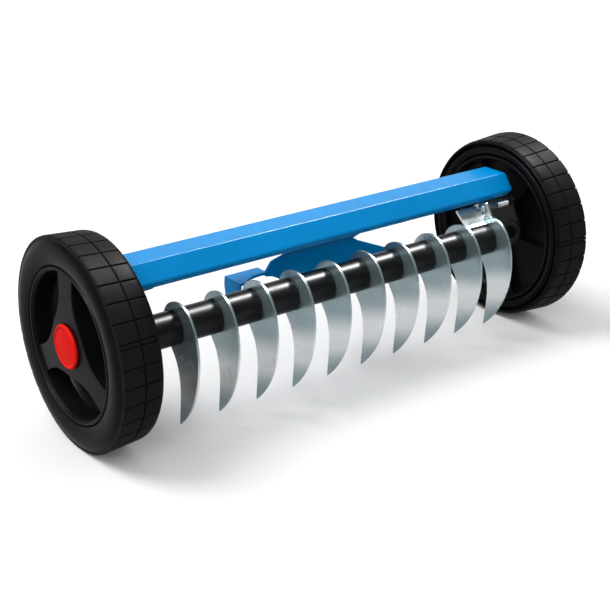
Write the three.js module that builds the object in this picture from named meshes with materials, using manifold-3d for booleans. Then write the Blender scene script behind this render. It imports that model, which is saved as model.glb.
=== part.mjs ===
// Wheeled lawn scarifier head: ten sickle blades on a swinging shaft, carried by a beam between two wheels.
// Millimetres, +Z up. X runs along the wheel axle, +Y points to the side the handle leaves from.
// The origin is on the ground, below the middle of the axle.
import * as THREE from 'three';
import { mergeVertices } from 'three/addons/utils/BufferGeometryUtils.js';
import Module from 'manifold-3d';

const wasm = await Module();
wasm.setup();

// ---------------------------------------------------------------- driving dimensions
const GAP = 0.3;                    // air between pieces that touch in use
const SHEET = 2.5;                  // thickness of the pressed steel parts

const WHEEL_RADIUS = 82.4;          // at the outer edge of the tread
const TREAD_INNER_RADIUS = 80;      // the tread tapers towards the middle of the machine
const WHEEL_INNER_X = 195.7;        // inner plane of the right wheel, from the middle
const WHEEL_OUTER_X = 231.6;        // where the sidewall bulges most
const TYRE_INNER_RADIUS = 60;
const TREAD_BLOCKS = 36;
const TREAD_DEPTH = 1.6;
const RIM_INNER_RADIUS = 56;
const DISH_RADIUS = 62.5;           // the wheel's open inner side, inside its lip
const LIP_RADIUS = 66;
const EDGE_GROOVE_INNER = 74;       // deep groove between the tyre's inner ring and its tread band
const EDGE_GROOVE_OUTER = 76.5;
const EDGE_GROOVE_DEPTH = 8;
const WEB_X = 209;                  // middle of the disc that closes the wheel
const WEB_HALF = 1.5;
const HUB_RADIUS = 12;
const HUB_PLATE_RADIUS = 25;
const CAP_RADIUS = 17;
const CAP_OUTER_X = 232.2;
const AXLE_RADIUS = 5;
const BUSH_RADIUS = 7;

const BEAM_HALF_LENGTH = 186;       // without its end caps
const BEAM_END_X = 194;             // with them
const BEAM_MID_Y = -5.3;
const BEAM_TOP_HALF = 11.8;         // half the depth of the level top face
const BEAM_WIDE_HALF = 21.2;        // half the depth where the slanted faces end
const BEAM_LOW_HALF = 17;           // half the depth of the level underside
const BEAM_TOP_Z = 57.6;            // heights are counted from the wheel axle
const BEAM_WIDE_Z = 43.9;
const BEAM_LOW_Z = 38.2;
const BEAM_WALL = 2;

const BRACKET_X = 188;              // inner face of the plates that hold the axles
const SHAFT_Y = -32;
const SHAFT_Z = 8;
const SHAFT_RADIUS = 5;
const SHAFT_END_X = 193;
const BLADE_COUNT = 10;
const BLADE_PITCH = 35;
const BLADE_THICKNESS = 2;
const SPACER_RADIUS = 13.2;

const STOP_ARM_X = 158.8;           // inner face of the swing stop's side plate
const STOP_FLANGE_X = 133;          // inner end of the flange over the last spacer
const STOP_BOLT_Y = -22.7;
const STOP_BOLT_Z = 32.3;
const STOP_BOLT_RADIUS = 3;
const SWING_RANGE = 25;             // degrees the blade shaft may swing back

const SOCKET_TILT = 40;             // degrees above level
const SOCKET_RADIUS = 14.5;
const SOCKET_BORE = 12.3;
const SOCKET_LENGTH = 36;
const SOCKET_BASE_Y = 13;
const SOCKET_BASE_Z = 6;

// ---------------------------------------------------------------- materials
const standard = (color, roughness, metalness) =>
  new THREE.MeshStandardMaterial({ color, roughness, metalness });
const bluePaint = standard(0x0a7fd0, 0.3, 0.2);
const blackPaint = standard(0x17171a, 0.5, 0.2);
const blackPlastic = standard(0x1d1d20, 0.55, 0);
const treadRubber = standard(0x26262a, 0.8, 0);
const redPlastic = standard(0xe8191c, 0.35, 0);
const bladeSteel = standard(0xb9c6cb, 0.25, 0.95);
const zinc = standard(0xc4ccd0, 0.35, 0.9);
const nylon = standard(0x141416, 0.6, 0);

// ---------------------------------------------------------------- solid helpers
function solid(geometry) {
  const bare = geometry.clone();
  for (const name of ['normal', 'uv']) bare.deleteAttribute(name);
  const merged = mergeVertices(bare.index ? bare.toNonIndexed() : bare, 1e-4);
  const place = merged.attributes.position.array;
  const corners = merged.index.array;
  const kept = [];
  let volume = 0;
  const point = [new THREE.Vector3(), new THREE.Vector3(), new THREE.Vector3()];
  for (let i = 0; i < corners.length; i += 3) {
    const [a, b, c] = corners.slice(i, i + 3);
    if (a === b || b === c || c === a) continue;
    kept.push(a, b, c);
    [a, b, c].forEach((corner, k) => point[k].fromArray(place, 3 * corner));
    volume += point[0].dot(point[1].clone().cross(point[2]));
  }
  if (volume < 0) kept.reverse();
  return new wasm.Manifold(new wasm.Mesh({
    numProp: 3,
    vertProperties: new Float32Array(place),
    triVerts: new Uint32Array(kept),
  }));
}

function geometryOf(body) {
  const mesh = body.getMesh();
  const geometry = new THREE.BufferGeometry();
  geometry.setAttribute('position', new THREE.BufferAttribute(new Float32Array(mesh.vertProperties), 3));
  geometry.setIndex(new THREE.BufferAttribute(new Uint32Array(mesh.triVerts), 1));
  geometry.computeVertexNormals();
  return geometry;
}

const joined = (...bodies) => bodies.reduce((whole, body) => whole.add(body));
const cutBy = (body, ...tools) => tools.reduce((rest, tool) => rest.subtract(tool), body);

function shapeOf(points, holes = []) {
  const shape = new THREE.Shape(points.map(([x, y]) => new THREE.Vector2(x, y)));
  shape.holes.push(...holes);
  return shape;
}

function roundHole(x, y, radius) {
  return new THREE.Path().absarc(x, y, radius, 0, 2 * Math.PI, true);
}

const X_AXIS = new THREE.Vector3(1, 0, 0);
const Y_AXIS = new THREE.Vector3(0, 1, 0);
const Z_AXIS = new THREE.Vector3(0, 0, 1);

// A prism along X whose outline is given in (y, z).
function prismX(shape, from, to, options = {}) {
  const depth = to - from;
  const settings = { depth, bevelEnabled: false, curveSegments: 8, ...options };
  const geometry = new THREE.ExtrudeGeometry(shape, settings);
  geometry.applyMatrix4(new THREE.Matrix4().makeBasis(Y_AXIS, Z_AXIS, X_AXIS));
  return solid(geometry.translate(from, 0, 0));
}

// A prism along Y whose outline is given in (x, z).
function prismY(shape, from, to) {
  const settings = { depth: to - from, bevelEnabled: false, curveSegments: 8 };
  const geometry = new THREE.ExtrudeGeometry(shape, settings);
  geometry.applyMatrix4(new THREE.Matrix4().makeBasis(X_AXIS, Z_AXIS, Y_AXIS.clone().negate()));
  return solid(geometry.translate(0, to, 0));
}

// A prism along Z whose outline is given in (x, y).
function prismZ(shape, from, to) {
  const settings = { depth: to - from, bevelEnabled: false, curveSegments: 8 };
  return solid(new THREE.ExtrudeGeometry(shape, settings).translate(0, 0, from));
}

// A body turned about the X axis from a profile of [radius, x] points.
function turnedX(profile, segments, y = 0, z = 0) {
  const outline = profile.map(([radius, x]) => new THREE.Vector2(radius, x));
  if (profile[0][0] > 0) outline.push(outline[0].clone());
  const geometry = new THREE.LatheGeometry(outline, segments);
  geometry.rotateZ(-Math.PI / 2);
  return solid(geometry.translate(0, y, z));
}

const rodX = (radius, from, to, y = 0, z = 0, segments = 20) =>
  turnedX([[0, from], [radius, from], [radius, to], [0, to]], segments, y, z);

const ringX = (inner, outer, from, to, y = 0, z = 0, segments = 20) =>
  turnedX([[inner, from], [outer, from], [outer, to], [inner, to]], segments, y, z);

function hexX(acrossFlats, from, to, y, z, boreRadius = 0) {
  const corner = acrossFlats / Math.sqrt(3);
  const points = [];
  for (let k = 0; k < 6; k += 1) {
    const angle = (k + 0.5) * Math.PI / 3;
    points.push([y + corner * Math.cos(angle), z + corner * Math.sin(angle)]);
  }
  return prismX(shapeOf(points, boreRadius ? [roundHole(y, z, boreRadius)] : []), from, to);
}

const mirrored = (body, side) => (side > 0 ? body : body.mirror([1, 0, 0]));

// ---------------------------------------------------------------- assembly
const assembly = new THREE.Group();
const scarifier = new THREE.Group();
scarifier.position.z = WHEEL_RADIUS;
assembly.add(scarifier);

function place(name, body, material) {
  const mesh = new THREE.Mesh(geometryOf(body), material);
  mesh.name = name;
  scarifier.add(mesh);
}

const SIDES = [['left', -1], ['right', 1]];

// ---------------------------------------------------------------- beam
function beamSection(inset) {
  const slant = inset * 1.2;
  const half = [
    [BEAM_TOP_HALF - inset * 0.55, BEAM_TOP_Z - inset],
    [BEAM_WIDE_HALF - slant, BEAM_WIDE_Z],
    [BEAM_LOW_HALF - inset * 0.7, BEAM_LOW_Z + inset],
  ];
  const rear = half.map(([y, z]) => [BEAM_MID_Y + y, z]);
  const front = half.map(([y, z]) => [BEAM_MID_Y - y, z]).reverse();
  return [...rear, ...front];
}

const BRACKET_SCREWS_X = [170, 181];
const screwHole = (x) => {
  const hole = new THREE.CylinderGeometry(2.3, 2.3, 12, 12).rotateX(Math.PI / 2);
  return solid(hole.translate(x, BEAM_MID_Y, BEAM_LOW_Z));
};

function beam() {
  const outside = prismX(shapeOf(beamSection(0)), -BEAM_HALF_LENGTH, BEAM_HALF_LENGTH);
  const inside = prismX(shapeOf(beamSection(BEAM_WALL)), -BEAM_HALF_LENGTH - 1, BEAM_HALF_LENGTH + 1);
  const holes = SIDES.flatMap(([, side]) => BRACKET_SCREWS_X.map((x) => screwHole(side * x)));
  return cutBy(outside, inside, ...holes);
}

// The cap carries the beam's outline on and rounds it off at its upright corners.
function beamEndCap(side) {
  const round = 5;
  const front = BEAM_MID_Y - BEAM_WIDE_HALF - 1;
  const rear = BEAM_MID_Y + BEAM_WIDE_HALF + 1;
  const start = BEAM_HALF_LENGTH + GAP;
  const plan = new THREE.Shape();
  plan.moveTo(start, front);
  plan.quadraticCurveTo(BEAM_END_X, front + 1, BEAM_END_X, front + 2 * round);
  plan.lineTo(BEAM_END_X, rear - 2 * round);
  plan.quadraticCurveTo(BEAM_END_X, rear - 1, start, rear);
  const outline = prismX(shapeOf(beamSection(0)), start, BEAM_END_X);
  const head = outline.intersect(prismZ(plan, 0, BEAM_TOP_Z + 1));
  const plug = prismX(shapeOf(beamSection(BEAM_WALL + GAP)), BEAM_HALF_LENGTH - 3, start + 1);
  return mirrored(head.add(plug), side);
}

// ---------------------------------------------------------------- end brackets
const SHAFT_BUSH_RADIUS = 7.5;

function endBracket(side) {
  const top = BEAM_LOW_Z - GAP;
  const outer = BRACKET_X + SHEET;
  const panel = prismX(shapeOf([[-27, top], [12, top], [13, 0], [0, -13], [-36, -2.8], [-43, 10], [-31, 33]]),
    BRACKET_X, outer);
  const axleEye = rodX(13, BRACKET_X, outer);
  const shaftEye = rodX(11.5, BRACKET_X, outer, SHAFT_Y, SHAFT_Z);
  const tab = shapeOf([[164, -17], [BRACKET_X + 1, -20], [BRACKET_X + 1, 9], [164, 6]]);
  const flange = prismZ(tab, top - SHEET, top);
  const holes = [
    rodX(AXLE_RADIUS + GAP, BRACKET_X - 5, outer + 5, 0, 0),
    rodX(SHAFT_BUSH_RADIUS + GAP, BRACKET_X - 5, outer + 5, SHAFT_Y, SHAFT_Z),
    ...BRACKET_SCREWS_X.map(screwHole),
  ];
  if (side > 0) holes.push(rodX(STOP_BOLT_RADIUS + GAP, BRACKET_X - 5, outer + 5, STOP_BOLT_Y, STOP_BOLT_Z));
  return mirrored(cutBy(joined(panel, axleEye, shaftEye, flange), ...holes), side);
}

function bracketScrew(x) {
  const head = new THREE.CylinderGeometry(4, 2.6, 2.6, 12).rotateX(-Math.PI / 2);
  const headZ = BEAM_LOW_Z - 2 * GAP - SHEET - 1.3;
  const shank = new THREE.CylinderGeometry(2, 2, 10, 12).rotateX(Math.PI / 2);
  return joined(
    solid(head.translate(x, BEAM_MID_Y, headZ)),
    solid(shank.translate(x, BEAM_MID_Y, headZ + 5)),
  );
}

// ---------------------------------------------------------------- handle bracket and socket
const WALL_FRONT_Y = 3;

// Pressed steel hanger: riser from the beam, upright wall, a bent wing on the right
// and a notched shelf with a turned-down ear on the left.
function handleBracket() {
  const top = BEAM_LOW_Z - GAP;
  const riser = prismX(shapeOf([
    [-16, top], [8, top], [8, top - SHEET], [-10, top - SHEET],
    [WALL_FRONT_Y + SHEET, 25], [WALL_FRONT_Y + SHEET, 20], [WALL_FRONT_Y, 20], [WALL_FRONT_Y, 24],
  ]), -36, 36);
  const wall = prismY(shapeOf([
    [-52, 14.5], [-46, 22.5], [-36, 25], [36, 25], [41, 22.5],
    [41, -3], [-28, -3], [-36, 4.5], [-45, 9.5], [-52, 11],
  ]), WALL_FRONT_Y, WALL_FRONT_Y + SHEET);
  const wing = prismY(shapeOf([[-1, 22.5], [32, 11], [32, -3], [-1, -3]]), -SHEET, 0)
    .rotate([0, 0, -24]).translate([40.5, WALL_FRONT_Y + SHEET, 0]);
  const shelfPlan = new THREE.Shape();
  shelfPlan.moveTo(-50, WALL_FRONT_Y + 1);
  shelfPlan.lineTo(-50, 17);
  shelfPlan.lineTo(-82, 17);
  shelfPlan.lineTo(-82, -4.5);
  shelfPlan.lineTo(-75, -4.5);
  shelfPlan.quadraticCurveTo(-70, 3.5, -56, WALL_FRONT_Y + 1);
  const shelf = prismZ(shelfPlan, 14.5 - SHEET, 14.5);
  const ear = new THREE.Shape();
  ear.moveTo(-4.5, 14.4);
  ear.lineTo(16.9, 14.4);
  ear.quadraticCurveTo(19.5, 6, 15.5, -3);
  ear.lineTo(-1, -5);
  const cheek = prismX(ear, -82, -82 + SHEET);
  return joined(riser, wall, wing, shelf, cheek);
}

// A rod along the tilted socket, from and to counted from the socket's foot.
function socketRod(radius, from, to) {
  const geometry = new THREE.CylinderGeometry(radius, radius, to - from, 24);
  geometry.translate(0, (from + to) / 2, 0).rotateX(THREE.MathUtils.degToRad(SOCKET_TILT));
  return solid(geometry.translate(0, SOCKET_BASE_Y, SOCKET_BASE_Z));
}

const CLAMP_ALONG = 22;             // from the socket's foot to its clamp screw
const tilt = THREE.MathUtils.degToRad(SOCKET_TILT);
const CLAMP_Y = SOCKET_BASE_Y + CLAMP_ALONG * Math.cos(tilt);
const CLAMP_Z = SOCKET_BASE_Z + CLAMP_ALONG * Math.sin(tilt);

function handleSocket() {
  const tube = socketRod(SOCKET_RADIUS, -12, SOCKET_LENGTH);
  const bore = socketRod(SOCKET_BORE, 2, SOCKET_LENGTH + 5);
  const back = WALL_FRONT_Y + SHEET + GAP;
  const foot = prismY(shapeOf([[-22, -2], [22, -2], [22, 22], [-22, 22]]), back, back + SHEET);
  const inFrontOfFoot = prismY(shapeOf([[-60, -60], [60, -60], [60, 60], [-60, 60]]), back - 60, back);
  const boss = rodX(7, SOCKET_BORE - 1, SOCKET_RADIUS + 4, CLAMP_Y, CLAMP_Z, 20);
  const thread = rodX(STOP_BOLT_RADIUS + GAP, SOCKET_BORE - 3, SOCKET_RADIUS + 6, CLAMP_Y, CLAMP_Z, 20);
  return cutBy(joined(tube, foot, boss), inFrontOfFoot, bore, thread);
}

function clampScrew() {
  const start = SOCKET_BORE - 0.8;
  const knobStart = SOCKET_RADIUS + 8;
  const shank = rodX(STOP_BOLT_RADIUS, start, knobStart + 2, CLAMP_Y, CLAMP_Z, 20);
  const knob = new THREE.Shape();
  const lobes = 6;
  for (let k = 0; k <= 48; k += 1) {
    const angle = 2 * Math.PI * k / 48;
    const radius = 9.5 + 1.2 * Math.cos(lobes * angle);
    const y = CLAMP_Y + radius * Math.cos(angle);
    const z = CLAMP_Z + radius * Math.sin(angle);
    if (k === 0) knob.moveTo(y, z);
    else if (k < 48) knob.lineTo(y, z);
  }
  return shank.add(prismX(knob, knobStart, knobStart + 9));
}

// ---------------------------------------------------------------- wheels
function tyre(side) {
  const outline = new THREE.Shape();
  const step = 2 * Math.PI / TREAD_BLOCKS;
  const groove = step * 0.16;
  for (let k = 0; k < TREAD_BLOCKS; k += 1) {
    const middle = -Math.PI / 2 + k * step;
    const corners = [
      [middle - step / 2, WHEEL_RADIUS - TREAD_DEPTH],
      [middle - step / 2 + groove / 2, WHEEL_RADIUS],
      [middle, WHEEL_RADIUS],
      [middle + step / 2 - groove / 2, WHEEL_RADIUS],
    ];
    corners.forEach(([angle, radius], i) => {
      const y = radius * Math.cos(angle);
      const z = radius * Math.sin(angle);
      if (k === 0 && i === 0) outline.moveTo(y, z);
      else outline.lineTo(y, z);
    });
  }
  const taper = TREAD_INNER_RADIUS / WHEEL_RADIUS;
  const block = prismX(outline, WHEEL_INNER_X, WHEEL_OUTER_X).warp((corner) => {
    const share = corner[0] < WEB_X ? taper : 1;
    corner[1] *= share;
    corner[2] *= share;
  });
  const shoulder = 3;
  const shell = turnedX([
    [TYRE_INNER_RADIUS - 1, WHEEL_INNER_X - 1],
    [TREAD_INNER_RADIUS - shoulder + 0.2, WHEEL_INNER_X - 1],
    [TREAD_INNER_RADIUS + 1, WHEEL_INNER_X + shoulder],
    [WHEEL_RADIUS + 1, WHEEL_OUTER_X - shoulder],
    [WHEEL_RADIUS - 2, WHEEL_OUTER_X - 2.3],
    [77, WHEEL_OUTER_X - 1],
    [72.5, WHEEL_OUTER_X],
    [66, WHEEL_OUTER_X - 0.1],
    [TYRE_INNER_RADIUS - 1, WHEEL_OUTER_X - 1.8],
  ], 40);
  const lipEnd = WEB_X + WEB_HALF + GAP;
  const lipRoom = rodX(LIP_RADIUS + GAP, WHEEL_INNER_X - 1, lipEnd, 0, 0, 40);
  const barrelRoom = rodX(TYRE_INNER_RADIUS, WHEEL_INNER_X - 1, WHEEL_OUTER_X + 1, 0, 0, 40);
  const edgeGroove = ringX(EDGE_GROOVE_INNER, EDGE_GROOVE_OUTER,
    WHEEL_INNER_X - 1, WHEEL_INNER_X + EDGE_GROOVE_DEPTH, 0, 0, 40);
  return mirrored(cutBy(block.intersect(shell), lipRoom, barrelRoom, edgeGroove), side);
}

// Disc, barrel and hub in one moulding, with three curved spokes outside and ribs inside.
function rim(side) {
  const barrel = TYRE_INNER_RADIUS - GAP;
  const body = turnedX([
    [BUSH_RADIUS + GAP, WHEEL_INNER_X + 2],
    [HUB_RADIUS, WHEEL_INNER_X + 2],
    [HUB_RADIUS, WEB_X - WEB_HALF],
    [DISH_RADIUS, WEB_X - WEB_HALF],
    [DISH_RADIUS, WHEEL_INNER_X + 0.5],
    [LIP_RADIUS, WHEEL_INNER_X + 0.5],
    [LIP_RADIUS, WEB_X + WEB_HALF],
    [barrel, WEB_X + WEB_HALF],
    [barrel, WHEEL_OUTER_X - 1.5],
    [RIM_INNER_RADIUS + 1, WHEEL_OUTER_X - 1.5],
    [RIM_INNER_RADIUS, WEB_X + WEB_HALF],
    [HUB_RADIUS + 4, WEB_X + WEB_HALF],
    [HUB_RADIUS + 4, WHEEL_OUTER_X - 2.5],
    [HUB_RADIUS, WHEEL_OUTER_X - 2.5],
    [HUB_RADIUS, WEB_X + 12],
    [BUSH_RADIUS + GAP, WEB_X + 12],
  ], 36);
  const face = new THREE.Shape();
  const reach = RIM_INNER_RADIUS + 0.8;
  const halfSpoke = 0.2;
  for (let k = 0; k < 3; k += 1) {
    const along = Math.PI / 2 + k * 2 * Math.PI / 3;
    const start = [reach * Math.cos(along - halfSpoke), reach * Math.sin(along - halfSpoke)];
    const end = [reach * Math.cos(along + halfSpoke), reach * Math.sin(along + halfSpoke)];
    const between = along + Math.PI / 3;
    const nextStart = along + 2 * Math.PI / 3 - halfSpoke;
    if (k === 0) face.moveTo(...start);
    face.lineTo(...end);
    face.bezierCurveTo(
      40 * Math.cos(along + 0.22), 40 * Math.sin(along + 0.22),
      32 * Math.cos(between - 0.75), 32 * Math.sin(between - 0.75),
      HUB_PLATE_RADIUS * Math.cos(between), HUB_PLATE_RADIUS * Math.sin(between),
    );
    face.bezierCurveTo(
      32 * Math.cos(between + 0.75), 32 * Math.sin(between + 0.75),
      40 * Math.cos(along + 2 * Math.PI / 3 - 0.22), 40 * Math.sin(along + 2 * Math.PI / 3 - 0.22),
      reach * Math.cos(nextStart), reach * Math.sin(nextStart),
    );
  }
  face.holes.push(roundHole(0, 0, HUB_RADIUS + 1));
  const spokes = prismX(face, WEB_X, WHEEL_OUTER_X - 2.5);
  const ribs = [];
  for (let k = 0; k < 6; k += 1) {
    const ribEnd = DISH_RADIUS + 0.8;
    const plan = shapeOf([[HUB_RADIUS - 2, -1.2], [ribEnd, -1.2], [ribEnd, 1.2], [HUB_RADIUS - 2, 1.2]]);
    const rib = prismX(plan, WHEEL_INNER_X + 5, WEB_X);
    ribs.push(rib.rotate([6 + k * 60, 0, 0]));
  }
  return mirrored(joined(body, spokes, ...ribs), side);
}

function hubCap(side) {
  const seat = WHEEL_OUTER_X - 2.5 + GAP;
  return mirrored(turnedX([
    [0, seat], [CAP_RADIUS - 0.6, seat], [CAP_RADIUS, seat + 1.5], [CAP_RADIUS - 1, CAP_OUTER_X - 0.8],
    [CAP_RADIUS - 3, CAP_OUTER_X - 0.4], [9, CAP_OUTER_X - 0.1], [0, CAP_OUTER_X],
  ], 32), side);
}

const WASHER_X = WEB_X + 12 + GAP;
const wheelWasher = (side) => mirrored(ringX(AXLE_RADIUS + GAP, 9, WASHER_X, WASHER_X + 1), side);
const wheelBush = (side) =>
  mirrored(ringX(AXLE_RADIUS + GAP, BUSH_RADIUS, BRACKET_X + SHEET + GAP, WEB_X + 12), side);
const axleNut = (side) =>
  mirrored(hexX(15, BRACKET_X - GAP - 5, BRACKET_X - GAP, 0, 0, AXLE_RADIUS + GAP), side);

function axleBolt(side) {
  const headX = WASHER_X + 1 + GAP;
  const head = hexX(15, headX, headX + 3.4, 0, 0);
  return mirrored(head.add(rodX(AXLE_RADIUS, BRACKET_X - 8, headX + 1)), side);
}

// ---------------------------------------------------------------- blade shaft
// Sickle blade, drawn around the shaft: an eye that widens into the belly and runs out in a tip.
function bladeShape() {
  const blade = new THREE.Shape();
  blade.moveTo(15.8, 3);
  blade.bezierCurveTo(15, 12, 7, 20.5, -6, 20.8);
  blade.bezierCurveTo(-21, 20.5, -29.5, 6, -31, -12);
  blade.bezierCurveTo(-32.8, -38, -22, -62, -2.2, -79.6);
  blade.bezierCurveTo(-3.2, -62, -8, -46, -1, -28.5);
  blade.bezierCurveTo(3, -19.5, 15.5, -12, 15.8, 3);
  blade.holes.push(roundHole(0, 0, SHAFT_RADIUS + GAP));
  return blade;
}

const bladeX = (k) => (k - (BLADE_COUNT - 1) / 2) * BLADE_PITCH;

function blade(k) {
  const from = bladeX(k) - BLADE_THICKNESS / 2;
  const body = prismX(bladeShape(), from, from + BLADE_THICKNESS, { curveSegments: 6 });
  return body.translate([0, SHAFT_Y, SHAFT_Z]);
}

const spacer = (from, to) =>
  ringX(SHAFT_RADIUS + GAP, SPACER_RADIUS, from, to, SHAFT_Y, SHAFT_Z, 16);

const SPACER_INSET = BLADE_THICKNESS / 2 + GAP;
const outerArmX = STOP_ARM_X + SHEET + GAP;
const COLLAR_X = 186;               // where the end spacer meets the left shaft bush

function stopPoint(radius, degrees) {
  const angle = THREE.MathUtils.degToRad(degrees);
  return [SHAFT_Y + radius * Math.cos(angle), SHAFT_Z + radius * Math.sin(angle)];
}

// Side plate with a curved slot around the stop bolt, and a slanted flange over the last spacer.
function stopArm() {
  const orbit = Math.hypot(STOP_BOLT_Y - SHAFT_Y, STOP_BOLT_Z - SHAFT_Z);
  const boltAngle = THREE.MathUtils.radToDeg(Math.atan2(STOP_BOLT_Z - SHAFT_Z, STOP_BOLT_Y - SHAFT_Y));
  const lastAngle = boltAngle - SWING_RANGE;
  const slotHalf = STOP_BOLT_RADIUS + 0.4;
  const outer = STOP_ARM_X + SHEET;
  const arc = (radius, from, to, steps) => {
    const points = [];
    for (let k = 0; k <= steps; k += 1) points.push(stopPoint(radius, from + (to - from) * k / steps));
    return points;
  };
  const sector = shapeOf([
    ...arc(orbit + slotHalf + 1.6, lastAngle - 13, boltAngle + 12, 6),
    stopPoint(14, boltAngle + 50),
    stopPoint(14, lastAngle - 50),
  ]);
  const plate = prismX(sector, STOP_ARM_X, outer);
  const eye = rodX(14, STOP_ARM_X, outer, SHAFT_Y, SHAFT_Z);
  const slot = shapeOf([
    ...arc(orbit + slotHalf, lastAngle, boltAngle, 5),
    ...arc(orbit - slotHalf, boltAngle, lastAngle, 5),
  ]);
  const slotEnds = [lastAngle, boltAngle].map((angle) =>
    rodX(slotHalf, STOP_ARM_X - 1, outer + 1, ...stopPoint(orbit, angle), 16));
  const bore = rodX(SHAFT_RADIUS + GAP, STOP_ARM_X - 1, outer + 1, SHAFT_Y, SHAFT_Z);
  const flange = prismX(shapeOf([
    [-33.5, 20.4], [-30.6, 21.2], [-17, 33], [-18.6, 34.9], [-24, 30.2], [-31.4, 23.5], [-34.4, 22.6],
  ]), STOP_FLANGE_X, STOP_ARM_X + 1);
  const headRoom = ringX(orbit - 5.1, orbit + 12, STOP_ARM_X - 4.2, STOP_ARM_X, SHAFT_Y, SHAFT_Z, 24);
  const tubeRoom = rodX(SPACER_RADIUS + GAP, STOP_FLANGE_X - 1, STOP_ARM_X, SHAFT_Y, SHAFT_Z, 24);
  const lastX = bladeX(BLADE_COUNT - 1);
  const bladeRoom = prismX(bladeShape(), lastX - SPACER_INSET, lastX + SPACER_INSET)
    .scale([1, 1.03, 1.03]).translate([0, SHAFT_Y, SHAFT_Z]);
  const whole = joined(plate, eye, cutBy(flange, headRoom, tubeRoom, bladeRoom));
  return cutBy(whole, prismX(slot, STOP_ARM_X - 1, outer + 1), bore, ...slotEnds);
}

// Button head inside the side plate, shank through its slot to the end bracket.
function stopBolt() {
  const head = turnedX([
    [0, STOP_ARM_X - 3.4], [3, STOP_ARM_X - 3.2], [4.8, STOP_ARM_X - 1.6],
    [4.8, STOP_ARM_X - GAP], [0, STOP_ARM_X - GAP],
  ], 24, STOP_BOLT_Y, STOP_BOLT_Z);
  return head.add(rodX(STOP_BOLT_RADIUS, STOP_ARM_X - 1, 195, STOP_BOLT_Y, STOP_BOLT_Z, 20));
}

const bracketNutX = BRACKET_X + SHEET + GAP;
const stopNut = () =>
  hexX(8, bracketNutX, bracketNutX + 3.5, STOP_BOLT_Y, STOP_BOLT_Z, STOP_BOLT_RADIUS + GAP);
const shaftNut = () => hexX(15, outerArmX, outerArmX + 5, SHAFT_Y, SHAFT_Z, SHAFT_RADIUS + GAP);
const bladeShaft = () => rodX(SHAFT_RADIUS, -SHAFT_END_X, SHAFT_END_X, SHAFT_Y, SHAFT_Z);

function shaftBush(side) {
  return mirrored(turnedX([
    [SHAFT_RADIUS + GAP, BRACKET_X - GAP - 1.5],
    [SHAFT_BUSH_RADIUS + 2.5, BRACKET_X - GAP - 1.5],
    [SHAFT_BUSH_RADIUS + 2.5, BRACKET_X - GAP],
    [SHAFT_BUSH_RADIUS, BRACKET_X - GAP],
    [SHAFT_BUSH_RADIUS, BRACKET_X + SHEET + 1.5],
    [SHAFT_RADIUS + GAP, BRACKET_X + SHEET + 1.5],
  ], 20, SHAFT_Y, SHAFT_Z), side);
}

for (const [label, side] of SIDES) {
  place(`${label}_tyre`, tyre(side), treadRubber);
  place(`${label}_wheel_rim`, rim(side), blackPlastic);
  place(`${label}_hub_cap`, hubCap(side), redPlastic);
  place(`${label}_wheel_bush`, wheelBush(side), nylon);
  place(`${label}_axle_washer`, wheelWasher(side), zinc);
  place(`${label}_axle_bolt`, axleBolt(side), zinc);
  place(`${label}_axle_nut`, axleNut(side), zinc);
  place(`${label}_end_bracket`, endBracket(side), blackPaint);
  place(`${label}_beam_end_cap`, beamEndCap(side), bluePaint);
  BRACKET_SCREWS_X.forEach((x, k) => place(`${label}_bracket_screw_${k + 1}`, bracketScrew(side * x), zinc));
}
place('beam', beam(), bluePaint);
place('handle_bracket', handleBracket(), bluePaint);
place('handle_socket', handleSocket(), bluePaint);
place('handle_clamp_screw', clampScrew(), blackPlastic);

for (let k = 0; k < BLADE_COUNT; k += 1) place(`blade_${k + 1}`, blade(k), bladeSteel);
place('spacer_end', spacer(-COLLAR_X + GAP, bladeX(0) - SPACER_INSET), blackPlastic);
for (let k = 1; k < BLADE_COUNT; k += 1) {
  place(`spacer_${k}`, spacer(bladeX(k - 1) + SPACER_INSET, bladeX(k) - SPACER_INSET), blackPlastic);
}

place('blade_shaft', bladeShaft(), blackPaint);
place('shaft_nut', shaftNut(), zinc);
place('stop_arm', stopArm(), zinc);
place('stop_bolt', stopBolt(), zinc);
place('stop_nut', stopNut(), zinc);
for (const [label, side] of SIDES) place(`${label}_shaft_bush`, shaftBush(side), nylon);

export default assembly;
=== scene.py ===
import math

import bmesh
import bpy
from mathutils import Matrix, Vector
from mathutils.geometry import tessellate_polygon


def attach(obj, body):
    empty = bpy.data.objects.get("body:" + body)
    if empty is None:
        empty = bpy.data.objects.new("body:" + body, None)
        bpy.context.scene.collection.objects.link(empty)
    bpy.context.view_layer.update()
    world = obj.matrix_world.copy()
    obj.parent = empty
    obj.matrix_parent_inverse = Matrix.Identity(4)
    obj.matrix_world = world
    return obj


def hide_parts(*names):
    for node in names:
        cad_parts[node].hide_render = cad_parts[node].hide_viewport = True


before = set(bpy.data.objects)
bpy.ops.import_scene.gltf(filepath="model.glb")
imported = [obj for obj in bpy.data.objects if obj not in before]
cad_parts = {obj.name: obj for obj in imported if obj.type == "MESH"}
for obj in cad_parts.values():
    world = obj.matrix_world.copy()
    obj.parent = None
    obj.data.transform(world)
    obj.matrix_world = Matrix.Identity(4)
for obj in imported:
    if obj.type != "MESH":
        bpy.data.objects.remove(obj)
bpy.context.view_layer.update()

# Lengths are in millimetres, counted from the middle of the wheel axle, with X along it.
# Lengths in materials, lights and the camera are in metres, counted from the ground.
MM = 0.001
AXLE_Z = 82.4               # height of the axle above the ground
GAP = 0.3                   # clearance between one part and the next
SHEET = 2.5                 # thickness of the pressed steel parts
SIDES = (("left", -1), ("right", 1))
TAU = 2 * math.pi
TINY = 1e-6
SAME_POINT = 1e-4
NEARLY_STRAIGHT = math.pi - 0.02
LONGEST_CUT = 0.46          # share of a side that one rounded corner may take


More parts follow.
